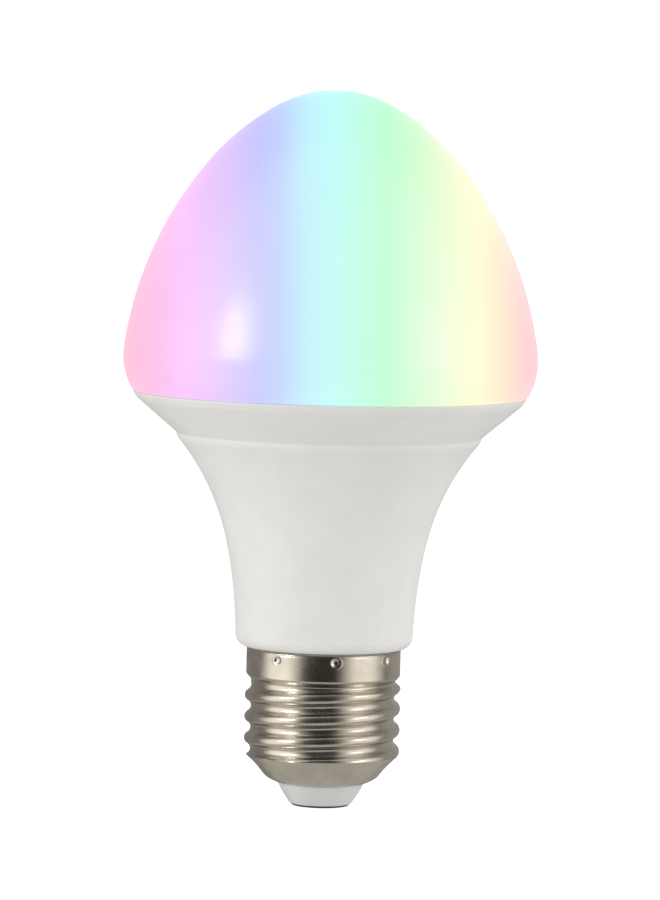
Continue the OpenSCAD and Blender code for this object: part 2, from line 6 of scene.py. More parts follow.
import math

import bmesh
import bpy
from mathutils import Matrix, Vector


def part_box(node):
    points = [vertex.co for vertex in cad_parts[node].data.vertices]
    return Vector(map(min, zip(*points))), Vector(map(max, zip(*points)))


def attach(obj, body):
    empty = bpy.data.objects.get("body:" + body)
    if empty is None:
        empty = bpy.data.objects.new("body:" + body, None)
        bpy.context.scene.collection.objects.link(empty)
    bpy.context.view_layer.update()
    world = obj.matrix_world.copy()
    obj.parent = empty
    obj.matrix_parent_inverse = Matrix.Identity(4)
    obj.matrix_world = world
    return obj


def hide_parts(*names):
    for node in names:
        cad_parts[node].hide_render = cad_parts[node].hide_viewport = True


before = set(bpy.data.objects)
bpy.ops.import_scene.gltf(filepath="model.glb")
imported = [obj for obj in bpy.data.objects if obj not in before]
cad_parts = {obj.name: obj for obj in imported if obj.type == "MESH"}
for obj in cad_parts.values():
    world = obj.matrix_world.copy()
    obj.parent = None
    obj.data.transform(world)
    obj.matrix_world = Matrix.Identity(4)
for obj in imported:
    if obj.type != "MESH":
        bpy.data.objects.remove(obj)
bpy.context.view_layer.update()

MM = 0.001
TURN = 2 * math.pi

# ---------------------------------------------------------------- camera

CAMERA_DISTANCE = 0.880
CAMERA_HEIGHT = 0.1246
CAMERA_SIDE = 0.00025
AIM_HEIGHT = 0.0601
CAMERA_ROLL = math.radians(1.38)
CAMERA_LENS = 209.8


def add_camera():
    """A long lens a little above the dome's seam, rolled so that the bulb leans to the right."""
    camera = bpy.data.objects.new("camera", bpy.data.cameras.new("camera"))
    bpy.context.scene.collection.objects.link(camera)
    camera.data.lens = CAMERA_LENS
    camera.data.sensor_width = 36
    camera.data.clip_start = 0.01
    place = Vector((CAMERA_SIDE, -CAMERA_DISTANCE, CAMERA_HEIGHT))
    aim = Vector((CAMERA_SIDE, 0, AIM_HEIGHT))
    turn = (aim - place).to_track_quat("-Z", "Y").to_matrix().to_4x4()
    camera.matrix_world = Matrix.Translation(place) @ turn @ Matrix.Rotation(CAMERA_ROLL, 4, "Z")
    bpy.context.scene.camera = camera


add_camera()

# ---------------------------------------------------------------- node helpers


def add_node(tree, kind, inputs=None, **settings):
    """A new node with its settings, and inputs that are either values or other nodes' outputs."""
    made = tree.nodes.new(kind)
    for key, value in settings.items():
        setattr(made, key, value)
    for key, value in (inputs or {}).items():
        if isinstance(value, bpy.types.NodeSocket):
            tree.links.new(value, made.inputs[key])
        else:
            made.inputs[key].default_value = value
    return made


def maths(tree, operation, *values):
    return add_node(tree, "ShaderNodeMath", dict(enumerate(values)), operation=operation).outputs[0]


def smooth_range(tree, value, low, high, to_low=0.0, to_high=1.0):
    """value taken from low..high to to_low..to_high with soft ends."""
    made = add_node(tree, "ShaderNodeMapRange", {"Value": value, "From Min": low, "From Max": high,
                                                 "To Min": to_low, "To Max": to_high},
                    interpolation_type="SMOOTHSTEP")
    return made.outputs["Result"]


def place_of(tree):
    """The surface point in the row frame: the vector, and its x, y and z."""
    point = add_node(tree, "ShaderNodeTexCoord").outputs["Object"]
    split = add_node(tree, "ShaderNodeSeparateXYZ", {0: point})
    return point, split.outputs[0], split.outputs[1], split.outputs[2]


def noise(tree, point, size_mm, detail=2.0):
    """Soft noise from 0 to 1 whose blobs are about size_mm across."""
    return add_node(tree, "ShaderNodeTexNoise", {"Vector": point, "Scale": 1 / (size_mm * MM),
                                                 "Detail": detail}).outputs["Fac"]


def tint(rgb):
    """Display colour from 0 to 1 as opaque linear light."""
    return (*(c / 12.92 if c <= 0.04045 else ((c + 0.055) / 1.055) ** 2.4 for c in rgb), 1)


def mixed(tree, factor, a, b):
    """Colour a where the factor is 0 and b where it is 1, each a display colour or an output."""
    a, b = (c if isinstance(c, bpy.types.NodeSocket) else tint(c) for c in (a, b))
    return add_node(tree, "ShaderNodeMix", {0: factor, 6: a, 7: b}, data_type="RGBA").outputs[2]


def between(tree, factor, a, b):
    """Value a where the factor is 0 and b where it is 1."""
    return add_node(tree, "ShaderNodeMix", {0: factor, 2: a, 3: b}).outputs[0]


def combined(tree, x, y, z=0.0):
    return add_node(tree, "ShaderNodeCombineXYZ", {0: x, 1: y, 2: z}).outputs[0]


def length_of(tree, x, y):
    return maths(tree, "SQRT", maths(tree, "ADD", maths(tree, "MULTIPLY", x, x),
                                     maths(tree, "MULTIPLY", y, y)))


def ramp(tree, factor, stops, mode="EASE"):
    """Colours along a factor. Each stop is (position, display colour)."""
    made = add_node(tree, "ShaderNodeValToRGB", {"Fac": factor})
    made.color_ramp.interpolation = mode
    elements = made.color_ramp.elements
    while len(elements) < len(stops):
        elements.new(0.5)
    for element, (position, rgb) in zip(elements, sorted(stops)):
        element.position = position
        element.color = tint(rgb)
    return made.outputs["Color"]


def bumped(tree, height, depth_mm, under=None):
    """Normal of a bump map whose height of 1 stands depth_mm proud, on top of the normal under."""
    inputs = {"Height": height, "Distance": depth_mm * MM}
    if under is not None:
        inputs["Normal"] = under
    return add_node(tree, "ShaderNodeBump", inputs).outputs["Normal"]


def new_material(name, **sockets):
    """A principled material with uniform values on the shader's own sockets."""
    material = bpy.data.materials.new(name)
    material.use_nodes = True
    shader = material.node_tree.nodes["Principled BSDF"]
    for key, value in sockets.items():
        shader.inputs[key.replace("_", " ")].default_value = value
    return material, material.node_tree, shader


def shade(rgb, factor):
    return tuple(min(1.0, c * factor) for c in rgb)


def moulded(name, rgb, rough=0.45, vary=0.04, grain_mm=0.25, depth_mm=0.004, metal=0.0, **sockets):
    """Plastic, rubber, ceramic or plated metal: slight mottling, uneven gloss and a fine grain."""
    material, tree, shader = new_material(name, Metallic=metal, **sockets)
    point = place_of(tree)[0]
    cloud = noise(tree, point, grain_mm * 14, detail=4)
    grain = noise(tree, point, grain_mm, detail=3)
    tree.links.new(ramp(tree, cloud, [(0.3, shade(rgb, 1 - vary)), (0.7, shade(rgb, 1 + vary))]),
                   shader.inputs["Base Color"])
    tree.links.new(smooth_range(tree, cloud, 0.25, 0.75, rough * 0.88, rough * 1.12),
                   shader.inputs["Roughness"])
    tree.links.new(bumped(tree, grain, depth_mm), shader.inputs["Normal"])
    return material


# ---------------------------------------------------------------- outline helpers


def across(heading):
    return Vector((math.sin(math.radians(heading)), math.cos(math.radians(heading))))


def along(heading):
    return Vector((math.cos(math.radians(heading)), -math.sin(math.radians(heading))))


def curve(start, heading, runs, inset=0.0, step=1.0):
    """Points of a chain of runs from start, moved inset inwards. Heading 0 runs outward and 90 down.
    A run is (radius, turn), with both negative where it turns outward, or (0, 0, length)."""
    point = Vector(start) - inset * across(heading)
    points = [point.copy()]
    for run in runs:
        if run[1] == 0:
            point = point + run[2] * along(heading)
            points.append(point.copy())
            continue
        radius, turn = run[0] - inset, run[1]
        steps = max(3, math.ceil(abs(turn) / step))
        first = across(heading)
        points += [point + radius * (across(heading + turn * i / steps) - first)
                   for i in range(1, steps + 1)]
        point, heading = points[-1].copy(), heading + turn
    return points


def rounded_corners(points, radius, steps=4):
    """A closed outline with each corner cut back and rounded by a quadratic curve."""
    out = []
    for before, corner, after in zip(points[-1:] + points[:-1], points, points[1:] + points[:1]):
        before, corner, after = Vector(before), Vector(corner), Vector(after)
        if corner.x < 1e-6:
            out.append(corner)
            continue
        cut = min(radius, (before - corner).length / 2.2, (after - corner).length / 2.2)
        a = corner + (before - corner).normalized() * cut
        b = corner + (after - corner).normalized() * cut
        for i in range(steps + 1):
            t = i / steps
            out.append(a * (1 - t) ** 2 + corner * 2 * t * (1 - t) + b * t * t)
    return out


# ---------------------------------------------------------------- mesh helpers


def finish_mesh(name, verts, faces, crease=40):
    """An object from points in metres, with outward faces, smooth but for edges over crease degrees."""
    mesh = bpy.data.meshes.new(name)
    mesh.from_pydata(verts, [], faces)
    work = bmesh.new()
    work.from_mesh(mesh)
    bmesh.ops.recalc_face_normals(work, faces=work.faces)
    work.to_mesh(mesh)
    work.free()
    mesh.shade_smooth()
    mesh.set_sharp_from_angle(angle=math.radians(crease))
    piece = bpy.data.objects.new(name, mesh)
    bpy.context.scene.collection.objects.link(piece)
    return piece


def lathe(name, outline, columns=192):
    """A solid turned from a closed outline of (radius, height) in mm."""
    verts, rings, faces = [], [], []
    for radius, height in outline:
        count = 1 if radius < 1e-6 else columns
        rings.append(range(len(verts), len(verts) + count))
        angles = [TURN * i / columns for i in range(count)]
        verts += [(radius * MM * math.cos(a), radius * MM * math.sin(a), height * MM) for a in angles]
    for a, b in zip(rings, rings[1:] + rings[:1]):
        if len(a) == 1 and len(b) == 1:
            continue
        for i in range(columns):
            j = (i + 1) % columns
            corners = [a[i % len(a)], b[i % len(b)], b[j % len(b)], a[j % len(a)]]
            faces.append(list(dict.fromkeys(corners)))
    return finish_mesh(name, verts, faces)


def add_piece(piece, material, node):
    """Gives a piece its material and its body, and hides the CAD node that it stands for."""
    piece.data.materials.append(material)
    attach(piece, "root")
    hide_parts(node)


# ---------------------------------------------------------------- driving dimensions (mm)

# Runs are as curve() takes them, and a pair of radii is the inner and the outer one.
DOME_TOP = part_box("diffuser_dome")[1].z / MM
DOME_RUNS = [(19.8, 30.5), (43.2, 21.3), (61.7, 30.7), (11.6, 38.5)]
DOME_WALL = 1.2
SEAM_HEADING = sum(turn for _, turn in DOME_RUNS)
SEAM = curve((0, DOME_TOP), 0, DOME_RUNS)[-1]
SKIRT = (28.6, 29.8)
SKIRT_Z = 67.9
FLANGE_Z = SEAM.y + 1.0
DOME_EDGE = 0.2

CONE_RUN = 8.15
CONE_HEADING = 139.9
RIM_TURN = 6.9
WALL_RUNS = [(11.6, RIM_TURN), (2.5, CONE_HEADING - SEAM_HEADING - RIM_TURN), (0, 0, CONE_RUN),
             (-0.3, -37.9), (2.8, 27.3), (-40.9, -27.5), (-86.6, -10.1)]
HOUSING_RUNS = WALL_RUNS + [(2.0, 180 - SEAM_HEADING - sum(run[1] for run in WALL_RUNS))]
HOUSING_WALL = 1.4
HOUSING_Z = curve(SEAM, SEAM_HEADING, HOUSING_RUNS)[-1].y
LIP_R = 27.5
GROOVE = (28.4, 30.0)
GROOVE_Z = 67.75
PLATE_Z = 66.15
NECK_BORE = 10.5
NECK_R = 11.45
NECK_Z = 12.0
NECK_FLOOR_Z = HOUSING_Z + 1.6

COLLAR_R = 13.0
COLLAR_Z = 22.4
COLLAR_TOP_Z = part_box("screw_shell")[1].z / MM
SHEET = 0.35
COLLAR_EDGE = 0.1
THREAD_MAJOR = 13.15
THREAD_MINOR = 12.1
THREAD_FADE = 1.3
PITCH = 3.629
CREST_Z = 16.63
GROOVE_FLOOR_Z = 21.25
THREAD_END_Z = GROOVE_FLOOR_Z + 0.1
SHOULDER_Z = 21.0
NECK_COLLAR_R = 12.6
NECK_COLLAR_Z = COLLAR_Z + 0.3
NECK_STEP_Z = GROOVE_FLOOR_Z + 0.2
CRIMP_Z = 25.5
CRIMP_START = math.radians(-81)
CRIMP_COUNT = 8
CRIMP_R = 0.92
CRIMP_DEPTH = 0.22
RIM_END = (7.45, 3.9)
# Outline of the cap's foot, from its rim up to where the thread takes over.
FOOT_POINTS = [RIM_END, (8.1, 4.15), (8.85, 4.5), (9.55, 5.0), (10.0, 5.5), (10.4, 6.0), (10.8, 6.5),
               (11.25, 7.0), (11.75, 7.5), (12.3, 8.0)]
RIM_FLATNESS = 1.2
CAP_INSIDE_Z = 4.6
CONTACT_R = 4.95
CONTACT_T = 0.4
CONTACT_EDGE_R = 0.3
CONTACT_FLAT_R = 3.0
SHANK_R = 0.9
SHANK_Z = 8.6
SHANK_TIP_R = 0.4
SHANK_TAPER = 0.5
INSULATOR_FLANGE_R = 8.5
INSULATOR_FLANGE_Z = (4.95, 7.4)
BOSS_R = 3.2
BOSS_Z = 8.2

# ---------------------------------------------------------------- outside: dome and housing

# Colours across the dome, from its left edge at 0 to its right edge at 1.
RAINBOW = [
    (0.00, (1.00, 0.76, 0.83)),
    (0.08, (0.99, 0.77, 0.91)),
    (0.16, (0.98, 0.79, 1.00)),
    (0.24, (0.91, 0.80, 1.00)),
    (0.33, (0.81, 0.81, 1.00)),
    (0.38, (0.80, 0.85, 1.00)),
    (0.45, (0.80, 0.96, 1.00)),
    (0.51, (0.80, 1.00, 0.98)),
    (0.64, (0.79, 1.00, 0.85)),
    (0.71, (0.86, 1.00, 0.85)),
    (0.80, (0.96, 1.00, 0.85)),
    (0.86, (1.00, 0.98, 0.84)),
    (0.92, (0.99, 0.90, 0.82)),
    (0.97, (0.99, 0.81, 0.82)),
    (1.00, (1.00, 0.78, 0.80)),
]
DOME_GLOW = 0.965
DOME_SHADE = (0.04, 0.04, 0.04)
SHADE_SHARE = 0.98
# Gamma of the dome's colours, at the lower and at the upper of two heights.
DEEPER_Z = (94, 119)
DEEPER = (1.05, 1.25)
# Painted shade at the seam: its height in mm above the seam, and the share of the glow left at the seam.
SEAM_SHADE_BAND = 0.3
SEAM_SHADE_GLOW = 0.78


def dome_material():
    """Opal plastic, lit from inside in bands of colour, which are deeper towards the top and dimmed by
    painted shade close to the seam. They lean against the axis, so that they are upright in the rolled
    view."""
    material, tree, shader = new_material("opal_dome", Emission_Strength=DOME_GLOW, IOR=1.5,
                                          Specular_IOR_Level=0.5)
    point, x, _, z = place_of(tree)
    radius = max(v.x for v in curve((0, DOME_TOP), 0, DOME_RUNS)) * MM
    lean = maths(tree, "MULTIPLY", maths(tree, "SUBTRACT", z, SEAM.y * MM), math.tan(CAMERA_ROLL))
    position = maths(tree, "ADD", x, lean)
    factor = add_node(tree, "ShaderNodeMapRange", {"Value": position, "From Min": -radius,
                                                   "From Max": radius}).outputs["Result"]
    depth = smooth_range(tree, z, DEEPER_Z[0] * MM, DEEPER_Z[1] * MM, *DEEPER)
    colour = add_node(tree, "ShaderNodeGamma", {"Color": ramp(tree, factor, RAINBOW, "LINEAR"),
                                                "Gamma": depth}).outputs[0]
    # Painted shade: the glow is dimmed just above the seam.
    edge = smooth_range(tree, z, SEAM.y * MM, (SEAM.y + SEAM_SHADE_BAND) * MM, SEAM_SHADE_GLOW, 1.0)
    colour = add_node(tree, "ShaderNodeVectorMath", {0: colour, "Scale": edge},
                      operation="SCALE").outputs[0]
    tree.links.new(colour, shader.inputs["Emission Color"])
    tree.links.new(mixed(tree, SHADE_SHARE, colour, DOME_SHADE), shader.inputs["Base Color"])
    mist = noise(tree, point, 6, detail=3)
    tree.links.new(smooth_range(tree, mist, 0.3, 0.7, 0.26, 0.31), shader.inputs["Roughness"])
    tree.links.new(bumped(tree, noise(tree, point, 0.4), 0.002), shader.inputs["Normal"])
    return material


def add_dome():
    """Shell with the skirt that goes down into the housing's groove. The arc's last points make way
    for the rounded edge at the seam."""
    outer = curve((0, DOME_TOP), 0, DOME_RUNS, step=0.8)
    inner = [p for p in curve((0, DOME_TOP), 0, DOME_RUNS, inset=DOME_WALL)
             if p.y > FLANGE_Z + DOME_EDGE]
    foot = rounded_corners([outer[-1], (SKIRT[1], SEAM.y), (SKIRT[1], SKIRT_Z), (SKIRT[0], SKIRT_Z),
                            (SKIRT[0], FLANGE_Z), (inner[-1].x, FLANGE_Z)], DOME_EDGE)
    outline = outer[:-3] + foot + inner[::-1]
    add_piece(lathe("opal_dome", outline), dome_material(), "diffuser_dome")


# Where the line of painted shade fades in and out, measured outwards from the flat underside's edge.
# The line stands in for the shade under the housing's lower edge, just above the cap.
SHADE_LINE_OUT = (0.15, 0.3, 0.75, 0.95)
SHADE_LINE_HEIGHT = 0.5
SHADE_LINE_RGB = (0.30, 0.29, 0.28)


def housing_material():
    """Satin white moulding with a very fine texture, and a thin line of painted shade around its lower
    edge.
    """
    material = moulded("satin_white", (0.905, 0.902, 0.885), rough=0.38, vary=0.006, grain_mm=0.3,
                       depth_mm=0.0012, Specular_IOR_Level=0.4, Subsurface_Weight=0.05,
                       Subsurface_Scale=0.002)
    tree = material.node_tree
    base = tree.nodes["Principled BSDF"].inputs["Base Color"]
    white = base.links[0].from_socket
    _, x, y, z = place_of(tree)
    underside_r = curve(SEAM, SEAM_HEADING, HOUSING_RUNS)[-1].x
    out = maths(tree, "SUBTRACT", length_of(tree, x, y), underside_r * MM)
    from_low, from_high, to_low, to_high = (edge * MM for edge in SHADE_LINE_OUT)
    # Mask of the painted shade line along the underside's edge.
    line = maths(tree, "MULTIPLY", smooth_range(tree, out, from_low, from_high),
                 smooth_range(tree, out, to_low, to_high, 1.0, 0.0))
    is_low = maths(tree, "LESS_THAN", z, (HOUSING_Z + SHADE_LINE_HEIGHT) * MM)
    line = maths(tree, "MULTIPLY", line, is_low)
    # The painted shade line darkens the white where the mask is 1.
    tree.links.new(mixed(tree, line, white, SHADE_LINE_RGB), base)
    return material


def neck_outline():
    """From the housing's underside down the neck, up its bore and out along its floor."""
    return [(NECK_COLLAR_R, HOUSING_Z), (NECK_COLLAR_R, NECK_COLLAR_Z), (NECK_R, NECK_STEP_Z),
            (NECK_R, NECK_Z), (NECK_BORE, NECK_Z), (NECK_BORE, NECK_FLOOR_Z)]


def add_housing():
    """Flared shell with its neck below, and above it the ledge, the lip and the groove for the dome."""
    outer = curve(SEAM, SEAM_HEADING, HOUSING_RUNS)
    inner = [p for p in curve(SEAM, SEAM_HEADING, HOUSING_RUNS, inset=HOUSING_WALL)
             if NECK_FLOOR_Z < p.y < PLATE_Z]
    floor_r, ledge_r = inner[-1].x, inner[0].x
    mouth = [(ledge_r, PLATE_Z), (LIP_R, PLATE_Z), (LIP_R, SEAM.y), (GROOVE[0], SEAM.y),
             (GROOVE[0], GROOVE_Z), (GROOVE[1], GROOVE_Z), (GROOVE[1], SEAM.y), outer[0]]
    outline = (outer[2:] + rounded_corners(neck_outline() + [(floor_r, NECK_FLOOR_Z)], 0.15)
               + inner[::-1] + rounded_corners(mouth, 0.16))
    add_piece(lathe("housing_shell", outline), housing_material(), "housing")


# ---------------------------------------------------------------- outside: cap

NICKEL = (0.775, 0.745, 0.70)


def nickel_material():
    """Warm nickel plate with fine drawing lines, small specks and uneven polish."""
    material, tree, shader = new_material("nickel_plate", Metallic=1.0)
    point, x, y, z = place_of(tree)
    cloud = noise(tree, point, 3.0, detail=4)
    specks = noise(tree, point, 0.16, detail=2)
    tree.links.new(ramp(tree, cloud, [(0.3, shade(NICKEL, 0.95)), (0.7, shade(NICKEL, 1.02))]),
                   shader.inputs["Base Color"])
    worn = maths(tree, "MULTIPLY", smooth_range(tree, specks, 0.62, 0.74), 0.16)
    rough = maths(tree, "ADD", smooth_range(tree, cloud, 0.3, 0.7, 0.17, 0.23), worn)
    tree.links.new(rough, shader.inputs["Roughness"])
    squeeze = 0.06
    level = combined(tree, maths(tree, "MULTIPLY", x, squeeze), maths(tree, "MULTIPLY", y, squeeze), z)
    lines = bumped(tree, noise(tree, level, 1 / 6), 0.0016)
    tree.links.new(bumped(tree, specks, 0.002, under=lines), shader.inputs["Normal"])
    return material


def ease(t):
    """0 below 0 and 1 above 1, with a smooth step between them."""
    t = min(1.0, max(0.0, t))
    return t * t * (3 - 2 * t)


def thread_r(u):
    """Radius of the thread's outside at an axial distance u from its nearest crest."""
    depth = THREAD_MAJOR - THREAD_MINOR
    arc = ((PITCH / 4) ** 2 + (depth / 2) ** 2) / depth
    if abs(u) <= PITCH / 4:
        return THREAD_MAJOR - arc + math.sqrt(arc * arc - u * u)
    return THREAD_MINOR + arc - math.sqrt(arc * arc - (PITCH / 2 - abs(u)) ** 2)


def foot_slopes():
    """Slope of the foot's outline at each of its points, for a smooth curve through them. It starts
    flatter, where the foot turns in to its rim."""
    runs = [(q[0] - p[0]) / (q[1] - p[1]) for p, q in zip(FOOT_POINTS, FOOT_POINTS[1:])]
    middle = [(a + b) / 2 for a, b in zip(runs, runs[1:])]
    return [runs[0] * RIM_FLATNESS] + middle + [runs[-1]]


FOOT_SLOPES = foot_slopes()


def foot_r(z):
    """Radius of the cap's conical foot and its rounded edge, at height z."""
    i = min(sum(1 for _, low in FOOT_POINTS[1:-1] if low <= z), len(FOOT_POINTS) - 2)
    (r0, z0), (r1, z1) = FOOT_POINTS[i:i + 2]
    span = z1 - z0
    t = (z - z0) / span
    if t > 1:
        return r1 + FOOT_SLOPES[-1] * (z - z1)
    return (r0 * (1 + 2 * t) * (1 - t) ** 2 + r1 * t * t * (3 - 2 * t)
            + span * t * (1 - t) * (FOOT_SLOPES[i] * (1 - t) - FOOT_SLOPES[i + 1] * t))


def dent(angle, z):
    """Depth of the crimp dimples: a round pit with a flat floor, and a faint raised edge around it."""
    spacing = TURN / CRIMP_COUNT
    turn = (angle - CRIMP_START + spacing / 2) % spacing - spacing / 2
    away = math.hypot(turn * COLLAR_R, z - CRIMP_Z) / CRIMP_R
    floor_end, wall, edge_at, edge_sharpness, edge_height = 0.25, 0.65, 1.05, 6, 0.03
    pit = CRIMP_DEPTH * (1 - ease((away - floor_end) / wall))
    return pit - edge_height * math.exp(-((away - edge_at) * edge_sharpness) ** 2)


def shell_r(angle, z):
    """Outside of the screw shell: foot, thread, groove and collar with its dimples and edge line."""
    turns = (z - CREST_Z) / PITCH - angle / TURN
    crest = (turns - math.floor(turns + 0.5)) * PITCH
    fade = ease((THREAD_END_Z - z) / THREAD_FADE)
    body = THREAD_MINOR + fade * (thread_r(crest) - THREAD_MINOR)
    rise = ease((z - SHOULDER_Z) / (COLLAR_Z - SHOULDER_Z))
    shoulder = THREAD_MINOR + (COLLAR_R - THREAD_MINOR) * rise
    line_z, line_width, line_depth = COLLAR_TOP_Z - 0.34, 0.07, 0.025
    line = line_depth * math.exp(-((z - line_z) / line_width) ** 2)
    return min(foot_r(z), max(body, shoulder)) - dent(angle, z) - line


def shell_columns():
    """Angles around the shell, close together over each dimple."""
    spacing, near = TURN / CRIMP_COUNT, math.radians(5)
    close, wide = 11, 23
    offsets = ([near * i / close for i in range(-close, close + 1)]
               + [near + (spacing - 2 * near) * i / wide for i in range(1, wide)])
    return [CRIMP_START + spacing * k + offset for k in range(CRIMP_COUNT) for offset in offsets]


def shell_heights():
    """Heights of the outside's rows, from the foot's rim to the collar's top. Each zone is (low, high,
    step), with close steps at the foot's edge, the thread, the dimples and the collar's edge line."""
    top = COLLAR_TOP_Z - COLLAR_EDGE
    zones = [(RIM_END[1], 6.2, 0.08), (6.2, 8.0, 0.12), (8.0, GROOVE_FLOOR_Z, 0.11),
             (GROOVE_FLOOR_Z, 24.2, 0.14), (24.2, 26.0, 0.085), (26.0, top, 0.05)]
    rows = []
    for low, high, step in zones:
        count = max(1, round((high - low) / step))
        rows += [low + (high - low) * i / count for i in range(count)]
    return rows + [top]


def add_screw_shell():
    """One closed sheet: the outside rows going up, a rounded edge, and the inside rows going down."""
    angles = shell_columns()
    heights = shell_heights()
    top = heights[-1]
    rows = [[(shell_r(a, z), z) for a in angles] for z in heights]
    for degrees in range(30, 180, 30):
        turn = math.radians(degrees)
        rows.append([(shell_r(a, top) - SHEET / 2 * (1 - math.cos(turn)),
                      top + COLLAR_EDGE * math.sin(turn)) for a in angles])
    inside = [z for z in heights[::-4] if z > CAP_INSIDE_Z]
    rows += [[(shell_r(a, z) - SHEET, z) for a in angles] for z in inside]
    rows.append([(RIM_END[0], RIM_END[1] + SHEET)] * len(angles))
    verts = [(r * MM * math.cos(a), r * MM * math.sin(a), z * MM)
             for row in rows for a, (r, z) in zip(angles, row)]
    n, m = len(angles), len(rows)
    faces = [(j * n + i, j * n + (i + 1) % n, (j + 1) % m * n + (i + 1) % n, (j + 1) % m * n + i)
             for j in range(m) for i in range(n)]
    add_piece(finish_mesh("screw_cap", verts, faces, crease=50), nickel_material(),
              "screw_shell")


def add_insulator():
    """Slightly bulging cone with its flange and boss inside the cap."""
    low, high = Vector((CONTACT_R + 0.3, CONTACT_T)), Vector((RIM_END[0] - 0.03, RIM_END[1] + 0.1))
    bulge, steps = 0.1, 8
    side = [low.lerp(high, i / steps) + Vector((bulge * math.sin(math.pi * i / steps), 0))
            for i in range(steps + 1)]
    bore = SHANK_R + 0.02
    flange_low, flange_top = INSULATOR_FLANGE_Z
    inside = rounded_corners([(high.x, flange_low), (INSULATOR_FLANGE_R, flange_low),
                              (INSULATOR_FLANGE_R, flange_top), (BOSS_R, flange_top),
                              (BOSS_R, BOSS_Z), (bore, BOSS_Z), (bore, CONTACT_T)], 0.12)
    material = moulded("grey_insulator", (0.865, 0.87, 0.855), rough=0.3, vary=0.012, grain_mm=0.4,
                       depth_mm=0.0015, Subsurface_Weight=0.15, Subsurface_Scale=0.003)
    add_piece(lathe("insulator_cone", side + inside, columns=128), material,
              "base_insulator")


def add_contact():
    """Plated head with a rolled edge, and the shank that is pressed up through the insulator."""
    edge = [(CONTACT_R + CONTACT_EDGE_R * (math.sin(t) - 1), CONTACT_EDGE_R * (1 - math.cos(t)))
            for t in (math.radians(d) for d in range(0, 91, 9))]
    gap = 0.02
    top = CONTACT_T - gap
    shank = rounded_corners([(CONTACT_R - gap, top), (SHANK_R, top), (SHANK_R, SHANK_Z - SHANK_TAPER),
                             (SHANK_TIP_R, SHANK_Z)], 0.05)
    outline = [(0, 0), (CONTACT_FLAT_R, 0)] + edge + shank + [(0, SHANK_Z)]
    material = moulded("contact_plate", (0.33, 0.30, 0.27), rough=0.35, vary=0.15, grain_mm=0.2,
                       depth_mm=0.006, metal=1.0)
    add_piece(lathe("contact_rivet", outline, columns=96), material,
              "centre_contact")


add_dome()
add_housing()
add_screw_shell()
add_insulator()
add_contact()

# ---------------------------------------------------------------- inside: finishes


def spun_metal(name, rgb, rough=0.28, pitch_mm=0.25):
    """Metal turned about the bulb's axis, with fine rings in its gloss and its surface."""
    material, tree, shader = new_material(name, Metallic=1.0)
    point, x, y, z = place_of(tree)
    rings = noise(tree, combined(tree, length_of(tree, x, y), 0.0, z), pitch_mm, detail=3)
    cloud = noise(tree, point, 7, detail=4)
    tree.links.new(ramp(tree, cloud, [(0.3, shade(rgb, 0.94)), (0.7, shade(rgb, 1.03))]),
                   shader.inputs["Base Color"])
    tree.links.new(smooth_range(tree, rings, 0.3, 0.7, rough * 0.8, rough * 1.3),
                   shader.inputs["Roughness"])
    tree.links.new(bumped(tree, rings, 0.006), shader.inputs["Normal"])
    return material


def board_material(name, gap, track, plane_of, width, row):
    """Solder mask over raised copper areas with narrow gaps. plane_of gives the pattern's plane."""
    material, tree, shader = new_material(name, Coat_Weight=0.3, Coat_Roughness=0.2)
    point, x, y, z = place_of(tree)
    bricks = add_node(tree, "ShaderNodeTexBrick", {
        "Vector": plane_of(tree, x, y, z), "Scale": 1.0, "Mortar Size": 0.035, "Mortar Smooth": 0.3,
        "Brick Width": width, "Row Height": row})
    copper = maths(tree, "SUBTRACT", 1.0, bricks.outputs["Fac"])
    grain = noise(tree, point, 0.5, detail=4)
    mask = mixed(tree, smooth_range(tree, grain, 0.3, 0.7), track, shade(track, 0.93))
    tree.links.new(mixed(tree, copper, gap, mask), shader.inputs["Base Color"])
    tree.links.new(smooth_range(tree, grain, 0.3, 0.7, 0.3, 0.42), shader.inputs["Roughness"])
    raised = bumped(tree, copper, 0.035)
    tree.links.new(bumped(tree, grain, 0.003, under=raised), shader.inputs["Normal"])
    return material


def polar_plane(tree, x, y, z):
    """Bricks around the axis, and rows along the radius. z plays no part."""
    bricks_around, row_depth = 12, 3.4
    around = maths(tree, "MULTIPLY", maths(tree, "ARCTAN2", y, x), bricks_around / TURN)
    return combined(tree, around, maths(tree, "DIVIDE", length_of(tree, x, y), row_depth * MM))


def upright_plane(tree, x, y, z):
    """The plane of the boards that stand along X and Z, in millimetres. y plays no part."""
    return combined(tree, maths(tree, "DIVIDE", x, MM), maths(tree, "DIVIDE", z, MM))


def two_finishes(name, sleeve_rgb, sleeve_rough, is_metal, mark=None, mark_rgb=(0.8, 0.8, 0.78)):
    """A coated body with bare tinned metal where is_metal(tree, x, y, z) is 1, and a mark on it."""
    material, tree, shader = new_material(name)
    point, x, y, z = place_of(tree)
    metal = is_metal(tree, x, y, z)
    cloud = noise(tree, point, 2.5, detail=3)
    coat = mixed(tree, smooth_range(tree, cloud, 0.3, 0.7), shade(sleeve_rgb, 0.94), sleeve_rgb)
    if mark is not None:
        coat = mixed(tree, mark(tree, x, y, z), coat, mark_rgb)
    bare = mixed(tree, smooth_range(tree, cloud, 0.3, 0.7), (0.80, 0.80, 0.81), (0.86, 0.86, 0.87))
    tree.links.new(mixed(tree, metal, coat, bare), shader.inputs["Base Color"])
    tree.links.new(metal, shader.inputs["Metallic"])
    tree.links.new(between(tree, metal, sleeve_rough, 0.28), shader.inputs["Roughness"])
    tree.links.new(bumped(tree, noise(tree, point, 0.2, detail=3), 0.004), shader.inputs["Normal"])
    return material


CAN_END = 0.4
SLEEVE_EDGE = 0.7
CAN_LEADS = 1.25
STRIPE_HALF_ANGLE = 0.35
DASH_PITCH = 3.0
DASH_SHARE = 0.75


